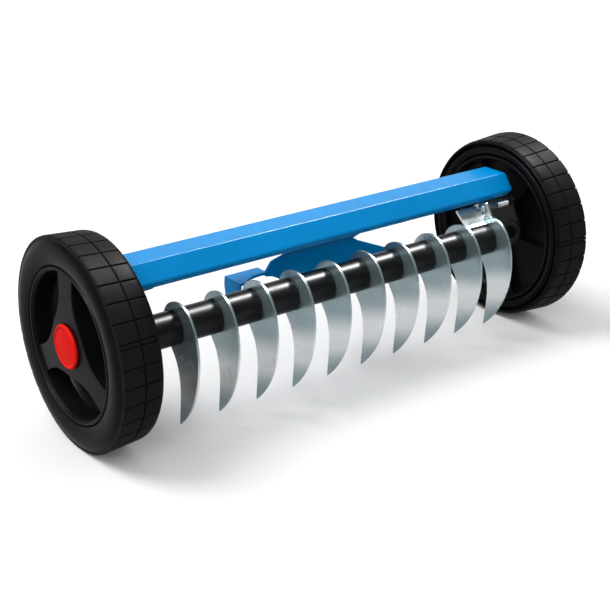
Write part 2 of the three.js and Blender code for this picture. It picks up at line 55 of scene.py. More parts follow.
# ------------------------------------------------------------------ outlines
def on_circle(x, y, radius, angle):
    return (x + radius * math.cos(angle), y + radius * math.sin(angle))


def circle(x, y, radius, count=48):
    return [on_circle(x, y, radius, TAU * k / count) for k in range(count)]


def hexagon(x, y, across_flats):
    corner = across_flats / math.sqrt(3)
    return [on_circle(x, y, corner, (k + 0.5) * math.pi / 3) for k in range(6)]


def fillet(points, radius, steps=4):
    """Rounds the corners of a closed outline. radius is one number or one for each corner."""
    out = []
    for i, point in enumerate(points):
        r = radius[i] if isinstance(radius, list) else radius
        corner = Vector(point)
        back = Vector(points[i - 1]) - corner
        ahead = Vector(points[(i + 1) % len(points)]) - corner
        short = min(back.length, ahead.length) < TINY
        opening = math.pi if short else back.angle(ahead)
        if r <= 0 or opening > NEARLY_STRAIGHT:
            out.append(tuple(corner))
            continue
        longest = LONGEST_CUT * min(back.length, ahead.length)
        reach = min(r / math.tan(opening / 2), longest)
        r = reach * math.tan(opening / 2)
        inward = (back.normalized() + ahead.normalized()).normalized()
        middle = corner + inward * (r / math.sin(opening / 2))
        start = corner + back.normalized() * reach - middle
        end = corner + ahead.normalized() * reach - middle
        first = math.atan2(start.y, start.x)
        turn = (math.atan2(end.y, end.x) - first + math.pi) % TAU - math.pi
        out += [on_circle(middle.x, middle.y, r, first + turn * k / steps)
                for k in range(steps + 1)]
    return out


def rounded(corners, steps=4):
    """A closed outline of (x, y, radius) corners."""
    return fillet([corner[:2] for corner in corners], [corner[2] for corner in corners], steps)


def bezier(p0, p1, p2, p3, steps):
    """Points of a cubic curve, without its last one."""
    out = []
    for k in range(steps):
        t = k / steps
        shares = ((1 - t) ** 3, 3 * t * (1 - t) ** 2, 3 * t * t * (1 - t), t ** 3)
        out.append(tuple(sum(share * p[axis] for share, p in zip(shares, (p0, p1, p2, p3)))
                         for axis in (0, 1)))
    return out


def signed_area(loop):
    return 0.5 * sum(a[0] * b[1] - b[0] * a[1] for a, b in zip(loop, loop[1:] + loop[:1]))


def moved_in(loop, distance):
    """The loop moved to its left, with mitred corners."""
    out = []
    count = len(loop)
    for i in range(count):
        before, here, after = Vector(loop[i - 1]), Vector(loop[i]), Vector(loop[(i + 1) % count])
        one, two = (here - before).normalized(), (after - here).normalized()
        left_one, left_two = Vector((-one.y, one.x)), Vector((-two.y, two.x))
        share = max(1 + left_one.dot(left_two), 0.5)
        out.append(tuple(here + (left_one + left_two) * (distance / share)))
    return out


# ------------------------------------------------------------------ solids
def along_x(u, v, w):
    return (w, u, v)


def along_y(u, v, w):
    return (u, w, v)


def along_z(u, v, w):
    return (u, v, w)


def skin(bm, rings):
    """Faces from each ring of corners to the next one."""
    for one, two in zip(rings, rings[1:]):
        for k in range(len(one)):
            n = (k + 1) % len(one)
            bm.faces.new((one[k], one[n], two[n], two[k]))


def plate(outline, low, high, bevel, axes=along_x, holes=(), steps=3):
    """A flat part of that outline from low to high, with all its edges rounded by bevel."""
    loops = [outline if signed_area(outline) > 0 else outline[::-1]]
    loops += [hole[::-1] if signed_area(hole) > 0 else hole for hole in holes]
    turns = [math.pi / 2 * k / steps for k in range(steps + 1)]
    levels = [(bevel * (1 - math.sin(a)), low + bevel * (1 - math.cos(a))) for a in turns]
    levels += [(bevel * (1 - math.cos(a)), high - bevel * (1 - math.sin(a))) for a in turns]
    bm = bmesh.new()
    stacks = []
    for loop in loops:
        stack = [[bm.verts.new(axes(u, v, height)) for u, v in moved_in(loop, inset)]
                 for inset, height in levels]
        stacks.append(stack)
        skin(bm, stack)
    flat = [[Vector((u, v, 0)) for u, v in moved_in(loop, levels[0][0])] for loop in loops]
    triangles = tessellate_polygon(flat)
    for level in (0, -1):
        corners = [vert for stack in stacks for vert in stack[level]]
        for a, b, c in triangles:
            if len({a, b, c}) == 3:
                bm.faces.new((corners[a], corners[b], corners[c]))
    bmesh.ops.recalc_face_normals(bm, faces=bm.faces)
    return bm


def lathe(profile, segments=96, y=0.0, z=0.0):
    """A closed profile of (radius, x) turned about a line along X."""
    bm = bmesh.new()
    rings = []
    for radius, x in profile:
        points = circle(y, z, radius, segments) if radius >= TINY else [(y, z)]
        rings.append([bm.verts.new((x, *point)) for point in points])
    for one, two in zip(rings, rings[1:] + rings[:1]):
        if len(one) == 1 and len(two) == 1:
            continue
        for k in range(segments):
            n = (k + 1) % segments
            corners = [one[k % len(one)], one[n % len(one)], two[n % len(two)], two[k % len(two)]]
            corners = [c for i, c in enumerate(corners) if c is not corners[i - 1]]
            bm.faces.new(corners)
    bmesh.ops.recalc_face_normals(bm, faces=bm.faces)
    return bm


def rod(radius, low, high, y=0.0, z=0.0, bevel=0.4, segments=48):
    """A turned pin along X with rounded ends."""
    profile = [(0, low, 0), (radius, low, bevel), (radius, high, bevel), (0, high, 0)]
    return lathe(rounded(profile, 3), segments, y, z)


def tube(inner, outer, low, high, y=0.0, z=0.0, bevel=0.4, segments=48):
    profile = [(inner, low), (outer, low), (outer, high), (inner, high)]
    return lathe(fillet(profile, bevel, 3), segments, y, z)


def turned_by(bm, degrees, axis):
    turn = Matrix.Rotation(math.radians(degrees), 3, axis)
    bmesh.ops.rotate(bm, verts=bm.verts, cent=(0, 0, 0), matrix=turn)
    return bm


def shifted(bm, x, y, z):
    bmesh.ops.translate(bm, verts=bm.verts, vec=(x, y, z))
    return bm


def mirrored(bm, side):
    if side < 0:
        bmesh.ops.scale(bm, verts=bm.verts, vec=(-1, 1, 1))
        bmesh.ops.reverse_faces(bm, faces=bm.faces)
    return bm


def to_object(bm, name):
    mesh = bpy.data.meshes.new(name)
    bm.to_mesh(mesh)
    bm.free()
    obj = bpy.data.objects.new(name, mesh)
    bpy.context.scene.collection.objects.link(obj)
    return obj


def combined(bm, tools, operation):
    """bm with closed tools joined to it (UNION), cut from it (DIFFERENCE) or kept (INTERSECT)."""
    work = [to_object(bm, "work")]
    for tool in tools:
        work.append(to_object(tool, "tool"))
        step = work[0].modifiers.new("step", "BOOLEAN")
        step.operation = operation
        step.solver = "MANIFOLD"
        step.object = work[-1]
    view = bpy.context.evaluated_depsgraph_get()
    mesh = bpy.data.meshes.new_from_object(work[0].evaluated_get(view))
    for obj in work:
        bpy.data.objects.remove(obj)
    out = bmesh.new()
    out.from_mesh(mesh)
    return out


def joined(*solids):
    return combined(solids[0], solids[1:], "UNION")


def cut(bm, *tools):
    return combined(bm, tools, "DIFFERENCE")


def piece(node, bm, body, slot, sharp=32.0):
    """Makes the solid one named piece that stands for a CAD node and moves with its body."""
    bmesh.ops.remove_doubles(bm, verts=bm.verts, dist=SAME_POINT)
    for face in bm.faces:
        face.smooth = True
    for edge in bm.edges:
        if len(edge.link_faces) == 2 and edge.calc_face_angle(0) > math.radians(sharp):
            edge.smooth = False
    bmesh.ops.translate(bm, verts=bm.verts, vec=(0, 0, AXLE_Z))
    bmesh.ops.scale(bm, verts=bm.verts, vec=(MM, MM, MM))
    obj = to_object(bm, f"{node}_detail")
    obj.data.materials.append(MATERIALS[slot])
    level = obj.modifiers.new("flat faces stay flat", "WEIGHTED_NORMAL")
    level.keep_sharp = True
    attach(obj, body)
    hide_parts(node)


# ------------------------------------------------------------------ materials
MATERIALS = {}


def surface(name, metallic=0.0, coat=0.0, coat_roughness=0.1, specular=0.5):
    mat = MATERIALS[name] = bpy.data.materials.new(name)
    mat.use_nodes = True
    shader = mat.node_tree.nodes["Principled BSDF"]
    for key, value in (("Metallic", metallic), ("Coat Weight", coat),
                       ("Coat Roughness", coat_roughness), ("Specular IOR Level", specular)):
        shader.inputs[key].default_value = value
    return mat


def node(mat, kind, **values):
    """A shader node with its settings; names with a capital letter are inputs."""
    made = mat.node_tree.nodes.new(kind)
    for key, value in values.items():
        if key[0].isupper():
            made.inputs[key.replace("_", " ")].default_value = value
        else:
            setattr(made, key, value)
    return made


def link(mat, source, target):
    mat.node_tree.links.new(source, target)


def math_node(mat, operation, *values):
    """The result of a Math node. Each value is a number or another node's output."""
    made = node(mat, "ShaderNodeMath", operation=operation)
    for socket, value in zip(made.inputs, values):
        if isinstance(value, float):
            socket.default_value = value
        else:
            link(mat, value, socket)
    return made.outputs["Value"]


def noise(mat, scale, detail):
    place = node(mat, "ShaderNodeTexCoord")
    made = node(mat, "ShaderNodeTexNoise", Scale=scale, Detail=detail)
    link(mat, place.outputs["Object"], made.inputs["Vector"])
    return made.outputs["Fac"]


def between(mat, factor, low, high, start=0.3, end=0.7, curve="LINEAR"):
    """A value from low to high as factor goes from start to end."""
    made = node(mat, "ShaderNodeMapRange", interpolation_type=curve,
                From_Min=start, From_Max=end, To_Min=low, To_Max=high)
    link(mat, factor, made.inputs["Value"])
    return made.outputs["Result"]


def blend_colour(mat, factor, low, high, start=0.3, end=0.7):
    ramp = node(mat, "ShaderNodeValToRGB")
    for stop, place, colour in zip(ramp.color_ramp.elements, (start, end), (low, high)):
        stop.position = place
        stop.color = (*colour, 1)
    link(mat, factor, ramp.inputs["Fac"])
    return ramp.outputs["Color"]


def bump(mat, height, strength, distance):
    made = node(mat, "ShaderNodeBump", Strength=strength, Distance=distance)
    link(mat, height, made.inputs["Height"])
    return made.outputs["Normal"]


def finish_surface(mat, colour, roughness, normal=None):
    shader = mat.node_tree.nodes["Principled BSDF"]
    link(mat, colour, shader.inputs["Base Color"])
    link(mat, roughness, shader.inputs["Roughness"])
    if normal is not None:
        link(mat, normal, shader.inputs["Normal"])


def grained(name, dark, pale, rough, cloud, grain, relief, rough_from="cloud", **shader):
    """A clouded colour with a fine raised grain; cloud and grain are noise settings."""
    mat = surface(name, **shader)
    pattern = {"cloud": noise(mat, *cloud), "grain": noise(mat, *grain)}
    finish_surface(mat, blend_colour(mat, pattern["cloud"], dark, pale),
                   between(mat, pattern[rough_from], *rough), bump(mat, pattern["grain"], *relief))


def radius_from_axle(mat):
    """Distance from the wheel axle, in metres."""
    place = node(mat, "ShaderNodeTexCoord")
    down = node(mat, "ShaderNodeVectorMath", operation="SUBTRACT")
    down.inputs[1].default_value = (0, 0, AXLE_Z * MM)
    flat = node(mat, "ShaderNodeVectorMath", operation="MULTIPLY")
    flat.inputs[1].default_value = (0, 1, 1)
    size = node(mat, "ShaderNodeVectorMath", operation="LENGTH")
    link(mat, place.outputs["Object"], down.inputs[0])
    link(mat, down.outputs["Vector"], flat.inputs[0])
    link(mat, flat.outputs["Vector"], size.inputs[0])
    return size.outputs["Value"]


GROOVE_FLOOR = 0.0785       # metres from the axle
BLOCK_TOP = 0.0812


def tread():
    """Rubber that is darker and smoother in its grooves than on top of its blocks."""
    mat = surface("tread", specular=0.04)
    height = between(mat, radius_from_axle(mat), 0.0, 0.7, GROOVE_FLOOR, BLOCK_TOP)
    shade = math_node(mat, "ADD", height, between(mat, noise(mat, 55, 4), 0.0, 0.3))
    finish_surface(
        mat,
        blend_colour(mat, shade, (0.0048, 0.0048, 0.0055), (0.0125, 0.0125, 0.0135), 0.0, 1.0),
        between(mat, shade, 0.26, 0.52, 0.0, 0.8),
        bump(mat, noise(mat, 1200, 4), 0.12, 0.0003),
    )


PAINTED_HIGHLIGHT_MIDDLE = 0.0335        # metres, along the slanted line that the painted highlight band is measured on
PAINTED_HIGHLIGHT_REACH = 0.026
PAINTED_HIGHLIGHT_SLANT = 0.3
SPANGLE_SCALE = 150.0
SPANGLE_SHARE = 0.05
PATTERN_SHARE = 0.25
PAINTED_HIGHLIGHT_SHARE = 0.8


def blade_steel():
    """Galvanised sheet with faint spangle and a painted reflection: a bright band across the middle
    of each blade, dull teal above and below it.
    """
    mat = surface("blade_steel", metallic=0.78)
    cloud = noise(mat, 38, 2)
    place = node(mat, "ShaderNodeTexCoord").outputs["Object"]
    spangle = node(mat, "ShaderNodeTexVoronoi", Scale=SPANGLE_SCALE)
    link(mat, place, spangle.inputs["Vector"])
    pattern = math_node(mat, "MULTIPLY_ADD", spangle.outputs["Distance"], SPANGLE_SHARE, cloud)
    along = node(mat, "ShaderNodeVectorMath", operation="DOT_PRODUCT")
    along.inputs[1].default_value = (0, PAINTED_HIGHLIGHT_SLANT, 1)
    link(mat, place, along.inputs[0])
    away = math_node(mat, "SUBTRACT", along.outputs["Value"], PAINTED_HIGHLIGHT_MIDDLE)
    away = math_node(mat, "ABSOLUTE", away)
    # painted highlight: the base colour turns bright along this band in place of the pale floor's
    # reflection
    painted_highlight = between(mat, away, PAINTED_HIGHLIGHT_SHARE, 0.0, 0.0, PAINTED_HIGHLIGHT_REACH, "SMOOTHSTEP")
    shade = math_node(mat, "MULTIPLY_ADD", pattern, PATTERN_SHARE, painted_highlight)
    finish_surface(
        mat,
        blend_colour(mat, shade, (0.33, 0.43, 0.45), (0.97, 0.99, 0.99), 0.1, 0.80),
        between(mat, pattern, 0.24, 0.29, 0.3, 0.8),
        bump(mat, cloud, 0.1, 0.0006),
    )


grained("blue_paint", dark=(0.0, 0.262, 0.66), pale=(0.0, 0.292, 0.72), rough=(0.26, 0.34),
        cloud=(26, 2), grain=(900, 1), relief=(0.02, 0.0003),
        coat=0.12, coat_roughness=0.08, specular=0.04)
grained("black_paint", dark=(0.0030, 0.0030, 0.0036), pale=(0.0055, 0.0055, 0.0062),
        rough=(0.27, 0.36), cloud=(40, 3), grain=(1500, 2), relief=(0.03, 0.0002), specular=0.20)
grained("black_plastic", dark=(0.0045, 0.0045, 0.0052), pale=(0.0080, 0.0080, 0.0088),
        rough=(0.27, 0.37), cloud=(30, 3), grain=(1800, 3), relief=(0.06, 0.0002),
        rough_from="grain", specular=0.05)
tread()
grained("red_plastic", dark=(0.84, 0.010, 0.008), pale=(0.92, 0.016, 0.012), rough=(0.34, 0.44),
        cloud=(60, 2), grain=(1800, 2), relief=(0.04, 0.0002), rough_from="grain", specular=0.02)
blade_steel()
grained("zinc_steel", dark=(0.54, 0.60, 0.63), pale=(0.70, 0.74, 0.76), rough=(0.26, 0.38),
        cloud=(120, 3), grain=(1200, 3), relief=(0.05, 0.0002), metallic=1.0)
grained("nylon", dark=(0.007, 0.007, 0.008), pale=(0.012, 0.012, 0.013), rough=(0.45, 0.55),
        cloud=(80, 3), grain=(1600, 3), relief=(0.06, 0.0002), specular=0.15)

# ------------------------------------------------------------------ beam
BEAM_HALF_LENGTH = 186.0
BEAM_END_X = 194.0
BEAM_MID_Y = -5.3
BEAM_LOW_Z = 38.2
BEAM_HALVES = ((11.8, 57.6), (21.2, 43.9), (17.0, BEAM_LOW_Z))
BEAM_WALL = 2.0
BEAM_CORNER = 2.4
CAP_INSET = 0.62            # how far the cap draws in, as a share of its length
CAP_STRAIGHT = 0.15         # share of the cap's length before it starts to draw in
CAP_STEPS = 6
BRACKET_SCREWS_X = (170.0, 181.0)
BRACKET_SCREW_RADIUS = 2.0


def beam_outline(inset=0.0):
    front = [(BEAM_MID_Y - half, z) for half, z in BEAM_HALVES]
    rear = [(BEAM_MID_Y + half, z) for half, z in BEAM_HALVES[::-1]]
    return fillet(moved_in(front + rear, inset), max(BEAM_CORNER - inset, 0.3), 5)


def beam():
    end = BEAM_HALF_LENGTH + 0.05
    shell = plate(beam_outline(), -end, end, 0.08, holes=[beam_outline(BEAM_WALL)], steps=1)
    holes = []
    for _, side in SIDES:
        for x in BRACKET_SCREWS_X:
            hole = turned_by(rod(BRACKET_SCREW_RADIUS + GAP, -4, 4), 90, "Y")
            holes.append(shifted(hole, side * x, BEAM_MID_Y, BEAM_LOW_Z))
    return cut(shell, *holes)


def beam_cap(side):
    """A cap with a plug inside the beam, drawn in towards its tip."""
    start = BEAM_HALF_LENGTH + 0.1
    length = BEAM_END_X - start
    sections = [(0.0, start)]
    for k in range(CAP_STEPS + 1):
        angle = math.pi / 2 * k / CAP_STEPS
        x = start + length * (CAP_STRAIGHT + (1 - CAP_STRAIGHT) * math.sin(angle))
        sections.append((length * CAP_INSET * (1 - math.cos(angle)), x))
    bm = bmesh.new()
    rings = [[bm.verts.new((x, y, z)) for y, z in moved_in(beam_outline(), inset)]
             for inset, x in sections]
    skin(bm, rings)
    bm.faces.new(rings[-1])
    bm.faces.new(rings[0][::-1])
    bmesh.ops.recalc_face_normals(bm, faces=bm.faces)
    plug = plate(beam_outline(BEAM_WALL + GAP), BEAM_HALF_LENGTH - 3, start + 1, 0.3)
    return mirrored(joined(bm, plug), side)


piece("beam", beam(), "frame", "blue_paint")
for label, side in SIDES:
    piece(f"{label}_beam_end_cap", beam_cap(side), "frame", "blue_paint", sharp=40)

# ------------------------------------------------------------------ wheels
TREAD_INNER_RADIUS = 80.0
TREAD_OUTER_RADIUS = 82.2
TREAD_INNER_X = 198.7
TREAD_OUTER_X = 228.2
WEB_X = 209.0
HUB_RADIUS = 12.0
BUSH_RADIUS = 7.0
AXLE_RADIUS = 5.0
RIM_INNER_RADIUS = 56.0
BARREL_RADIUS = 59.7
DISH_RADIUS = 62.5
LIP_RADIUS = 66.0
RIM_OUTER_X = 230.1
DISH_X = 210.5
CAP_SEAT_X = 229.4
CAP_RADIUS = 17.0
TREAD_BLOCKS = 35
SEAM_BLOCK = 2.4            # degrees taken by the narrow block where the tread pattern closes
SEAM_AT = {"left": 160.0, "right": 173.8}
# across the tread: distance from a groove's middle in mm, and the share of its depth there
GROOVE_WALL = ((-1.15, 0.0), (-0.72, 0.10), (-0.48, 0.75), (-0.34, 1.0),
               (0.34, 1.0), (0.48, 0.75), (0.72, 0.10), (1.15, 0.0))
GROOVE_DEPTH = 1.3
RING_GROOVE_X = 211.6
RING_GROOVE_DEPTH = 1.1
RIBS = 6
RIB_TURN = 6                # degrees from the horizontal to the first rib
SPOKE_HALF_ANGLE = 0.2
SPOKE_FACE_X = 229.0
DOME_RISE = 0.3
DOME_FALL = 1.5
DOME_GRID = 6.0             # the spoke plate is divided this finely so that it can be domed


def tread_radius(x):
    share = (x - TREAD_INNER_X) / (TREAD_OUTER_X - TREAD_INNER_X)
    return TREAD_INNER_RADIUS + (TREAD_OUTER_RADIUS - TREAD_INNER_RADIUS) * share


def tyre_profile():
    """(radius, x, how much of a cross groove's depth it takes) around the right tyre's section."""
    outer_side = [(60.3, 222.0), (60.3, 228.8), (60.5, 229.5), (61.1, 230.0), (62.2, 230.35),
                  (64.0, 230.8), (66.5, 231.3), (69.0, 231.55), (71.5, 231.6), (73.8, 231.4),
                  (75.8, 230.9), (77.4, 230.2), (78.6, 229.5), (79.4, 229.1)]
    outer_shoulder = [(80.3, 229.15, 0.3), (81.3, 229.1, 0.7), (82.0, 228.7, 1.0)]
    tread_x = [227.4, 224.5, 221.0, 217.5, 214.5]
    inner_x = [208.5, 205.5, 202.0, 199.8]
    inner_shoulder = [(79.8, 198.6, 1.0), (79.4, 197.4, 0.7), (79.0, 196.7, 0.3)]
    inner_side = [(78.4, 196.1), (77.6, 195.8), (77.0, 196.0), (76.6, 196.7), (76.4, 198.0),
                  (76.3, 203.4), (75.9, 203.7), (74.6, 203.7), (74.2, 203.4), (74.1, 198.4),
                  (73.8, 197.0), (73.2, 196.1), (72.2, 195.75), (71.0, 195.75), (69.6, 196.1),
                  (68.0, 197.0), (66.9, 198.2), (66.4, 199.6), (66.3, 201.5), (66.3, 210.8),
                  (60.3, 210.8)]
    points = [(r, x, 0.0) for r, x in outer_side] + outer_shoulder
    points += [(tread_radius(x), x, 1.0) for x in tread_x]
    for offset, share in GROOVE_WALL[::-1]:
        x = RING_GROOVE_X + offset
        points.append((tread_radius(x) - RING_GROOVE_DEPTH * share, x, 1.0))
    points += [(tread_radius(x), x, 1.0) for x in inner_x] + inner_shoulder
    return points + [(r, x, 0.0) for r, x in inner_side]


def tread_columns(seam_at):
    """(angle in degrees, share of the cross groove's depth) all the way round."""
    pitch = (360 - SEAM_BLOCK) / TREAD_BLOCKS
    per_mm = math.degrees(1 / TREAD_OUTER_RADIUS)
    columns = []
    for k in range(TREAD_BLOCKS + 1):
        middle = seam_at + SEAM_BLOCK + k * pitch if k < TREAD_BLOCKS else seam_at + 360
        columns += [(middle + offset * per_mm, share) for offset, share in GROOVE_WALL]
        if k < TREAD_BLOCKS:
            columns += [(middle + pitch * part, 0.0) for part in (0.3, 0.5, 0.7)]
    return columns


def tyre(label, side):
    bm = bmesh.new()
    rings = []
    for angle, share in tread_columns(SEAM_AT[label]):
        ring = []
        for radius, x, takes in tyre_profile():
            top = tread_radius(x) if takes == 1 else radius
            r = min(radius, top - GROOVE_DEPTH * share * takes)
            ring.append(bm.verts.new((side * x, *on_circle(0, 0, r, math.radians(angle)))))
        rings.append(ring)
    skin(bm, rings + rings[:1])
    bmesh.ops.recalc_face_normals(bm, faces=bm.faces)
    return bm


def spoke_outline():
    """Hub plate and three spokes with hollow sides, the first spoke straight up."""
    reach = RIM_INNER_RADIUS + 0.8
    third = TAU / 3

    def at(radius, angle):
        return on_circle(0, 0, radius, angle)

    loop = []
    for k in range(3):
        spoke = math.pi / 2 + k * third
        middle = spoke + third / 2
        leaving = spoke + SPOKE_HALF_ANGLE
        arriving = spoke + third - SPOKE_HALF_ANGLE
        loop += [at(reach, spoke - SPOKE_HALF_ANGLE), at(reach, spoke)]
        loop += bezier(at(reach, leaving), at(40, spoke + 0.22), at(32, middle - 0.75),
                       at(25, middle), 14)
        loop += bezier(at(25, middle), at(32, middle + 0.75), at(40, spoke + third - 0.22),
                       at(reach, arriving), 14)
    return loop


def spoke_face():
    """The spoke plate, domed so that it stands proudest at the hub."""
    bm = plate(spoke_outline(), DISH_X + 1, SPOKE_FACE_X, 1.0,
               holes=[circle(0, 0, HUB_RADIUS + 1)], steps=4)
    for k in range(-9, 10):
        for across in ((0, 1, 0), (0, 0, 1)):
            everything = bm.verts[:] + bm.edges[:] + bm.faces[:]
            bmesh.ops.bisect_plane(bm, geom=everything, plane_co=Vector(across) * DOME_GRID * k,
                                   plane_no=across)
    for vert in bm.verts:
        if vert.co.x > 220:
            radius = math.hypot(vert.co.y, vert.co.z)
            vert.co.x += DOME_RISE - DOME_FALL * (radius / RIM_INNER_RADIUS) ** 2
    return bm


def rim(side):
    outside = RIM_OUTER_X
    boss = HUB_RADIUS + 4
    body = lathe(rounded([
        (BUSH_RADIUS + GAP, 197.7, 0.4), (HUB_RADIUS, 197.7, 1.2), (HUB_RADIUS, 207.5, 3),
        (DISH_RADIUS - 3, 207.5, 4), (DISH_RADIUS, 203.5, 3), (DISH_RADIUS, 198.6, 2),
        (DISH_RADIUS + 1.2, 196.4, 0.9), (LIP_RADIUS, 196.2, 0.6), (LIP_RADIUS, DISH_X, 0.3),
        (BARREL_RADIUS, DISH_X, 0.3), (BARREL_RADIUS, outside - 0.7, 0.4),
        (BARREL_RADIUS - 0.7, outside, 0.5), (BARREL_RADIUS - 2.1, outside, 0.5),
        (BARREL_RADIUS - 2.6, outside - 0.9, 0.4), (RIM_INNER_RADIUS + 0.5, outside - 1.2, 0.5),
        (RIM_INNER_RADIUS, outside - 2.2, 1.2), (RIM_INNER_RADIUS - 1.5, 214.0, 4),
        (RIM_INNER_RADIUS - 6, DISH_X, 4), (boss, DISH_X, 3), (boss, 228.6, 0.5),
        (HUB_RADIUS, 228.6, 0.3), (HUB_RADIUS, WEB_X + 12, 0.3),
        (BUSH_RADIUS + GAP, WEB_X + 12, 0.3),
    ]), 120)
    foot = plate(spoke_outline(), DISH_X - 1, DISH_X + 1.5, 0.05,
                 holes=[circle(0, 0, HUB_RADIUS + 1)], steps=1)
    ribs = []
    for k in range(RIBS):
        flat = fillet([(HUB_RADIUS - 2, -1.1), (DISH_RADIUS + 1, -1.1), (DISH_RADIUS + 1, 1.1),
                       (HUB_RADIUS - 2, 1.1)], 0.2, 2)
        rib = plate(flat, 200.7, 208.5, 0.5)
        ribs.append(turned_by(rib, RIB_TURN + 360 / RIBS * k, "X"))
    return mirrored(joined(body, spoke_face(), foot, *ribs), side)


def hub_cap(side):
    return mirrored(lathe(rounded([
        (0, CAP_SEAT_X, 0), (CAP_RADIUS - 0.7, CAP_SEAT_X, 0.3),
        (CAP_RADIUS, CAP_SEAT_X + 0.8, 0.5), (CAP_RADIUS, 231.1, 0.9), (16.1, 232.1, 0.7),
        (15.1, 232.2, 0.4), (14.4, 231.6, 0.3), (13.6, 231.5, 0.3), (8, 231.9, 3), (0, 232.15, 0),
    ]), 96), side)


for label, side in SIDES:
    wheel = f"{label}_wheel"
    piece(f"{label}_tyre", tyre(label, side), wheel, "tread", sharp=38)
    piece(f"{label}_wheel_rim", rim(side), wheel, "black_plastic", sharp=38)
    piece(f"{label}_hub_cap", hub_cap(side), wheel, "red_plastic")

# ------------------------------------------------------------------ blades and shaft
SHAFT_Y = -32.0
SHAFT_Z = 8.0
SHAFT_RADIUS = 5.0
SPACER_RADIUS = 13.2
BLADE_COUNT = 10
BLADE_PITCH = 35.0
BLADE_THICKNESS = 2.0
SPACER_INSET = BLADE_THICKNESS / 2 + GAP
COLLAR_X = 186.0


def blade_outline():
    """A sickle, counted from the middle of the shaft, with its tip at the bottom."""
    loop = bezier((15.8, 3), (15, 12), (7, 20.5), (-6, 20.8), 14)
    loop += bezier((-6, 20.8), (-21, 20.5), (-29.5, 6), (-31, -12), 18)
    loop += bezier((-31, -12), (-32.8, -38), (-22, -62), (-2.2, -79.6), 26)
    loop += bezier((-2.2, -79.6), (-3.2, -62), (-8, -46), (-1, -28.5), 18)
    loop += bezier((-1, -28.5), (3, -19.5), (15.5, -12), (15.8, 3), 14)
    return loop


def blade_x(k):
    return (k - (BLADE_COUNT - 1) / 2) * BLADE_PITCH


def blade(k):
    half = BLADE_THICKNESS / 2
    bm = plate(blade_outline(), blade_x(k) - half, blade_x(k) + half, 0.35,
               holes=[circle(0, 0, SHAFT_RADIUS + GAP)])
    return shifted(bm, 0, SHAFT_Y, SHAFT_Z)


def spacer(low, high):
    return tube(SHAFT_RADIUS + GAP, SPACER_RADIUS, low, high, SHAFT_Y, SHAFT_Z, 0.6, 72)


for k in range(BLADE_COUNT):
    piece(f"blade_{k + 1}", blade(k), "blade_shaft", "blade_steel")
for k in range(BLADE_COUNT):
    name = f"spacer_{k}" if k else "spacer_end"
    start = blade_x(k - 1) + SPACER_INSET if k else -COLLAR_X + GAP
    piece(name, spacer(start, blade_x(k) - SPACER_INSET), "blade_shaft", "black_paint")

# ------------------------------------------------------------------ nuts, bolts and bushes
BRACKET_X = 188.0
WASHER_X = WEB_X + 12 + GAP
WASHER_RADIUS = 9.0
SHAFT_END_X = 193.0
SHAFT_BUSH_RADIUS = 7.5
FLANGE_RADIUS = SHAFT_BUSH_RADIUS + 2.5
STOP_ARM_X = 158.8
STOP_FLANGE_X = 133.0
STOP_BOLT_Y = -22.7
STOP_BOLT_Z = 32.3
STOP_BOLT_RADIUS = 3.0
STOP_HEAD_RADIUS = 4.8
SWING_RANGE = 25.0
NUT_ACROSS = 15.0
NUT_THICKNESS = 5.0
BOLT_HEAD_THICKNESS = 3.4
STOP_NUT_ACROSS = 8.0
STOP_NUT_THICKNESS = 3.5
CORNERS_OFF = 0.14          # how far a hexagon's corners are turned off, as a share of its half


def hex_body(across, low, high, y, z, bore=0.0):
    """A hexagon with its corners turned off at both ends, as nuts and bolt heads are."""
    corner = across / math.sqrt(3) + 0.05
    slope = CORNERS_OFF * across / 2
    turned = lathe([(0, low), (across / 2, low), (corner, low + slope), (corner, high - slope),
                    (across / 2, high), (0, high)], 60, y, z)
    body = combined(plate(hexagon(y, z, across), low, high, 0.15, steps=2), [turned], "INTERSECT")
    return cut(body, rod(bore, low - 1, high + 1, y, z, 0)) if bore else body


def threaded(radius, low, high, start, end, y=0.0, z=0.0, pitch=1.25, depth=0.5):
    """A pin along X with rings cut into it from start to end where its thread is."""
    profile = [(0, low), (radius - 0.6, low), (radius, low + 0.6)]
    x = start
    while x + pitch < end:
        profile += [(radius, x), (radius - depth, x + pitch * 0.5), (radius, x + pitch)]
        x += pitch
    return lathe(profile + [(radius, high - 0.6), (radius - 0.6, high), (0, high)], 40, y, z)


def bracket_screw(x):
    """A countersunk screw that goes up into the beam, with a hexagon socket in its head."""
    head = lathe(rounded([(0, -2.6, 0), (2.6, -2.6, 0.5), (4.0, 0, 0.4), (0, 0, 0)]), 48)
    shank = lathe([(0, -0.5), (BRACKET_SCREW_RADIUS, -0.5), (BRACKET_SCREW_RADIUS, 6.6),
                   (BRACKET_SCREW_RADIUS - 0.6, 7.2), (0, 7.2)], 32)
    socket = plate(hexagon(0, 0, 2.6), -3.2, -1.2, 0.05, steps=1)
    screw = turned_by(cut(joined(head, shank), socket), -90, "Y")
    return shifted(screw, x, BEAM_MID_Y, BEAM_LOW_Z - 2 * GAP - SHEET)


def shaft_bush(side):
    bore = SHAFT_RADIUS + GAP
    flange = BRACKET_X - GAP
    end = BRACKET_X + SHEET + 1.5
    return mirrored(lathe(rounded([
        (bore, flange - 1.5, 0.3), (FLANGE_RADIUS, flange - 1.5, 0.4), (FLANGE_RADIUS, flange, 0.4),
        (SHAFT_BUSH_RADIUS, flange, 0.1), (SHAFT_BUSH_RADIUS, end, 0.5), (bore, end, 0.3),
    ], 3), 60, SHAFT_Y, SHAFT_Z), side)


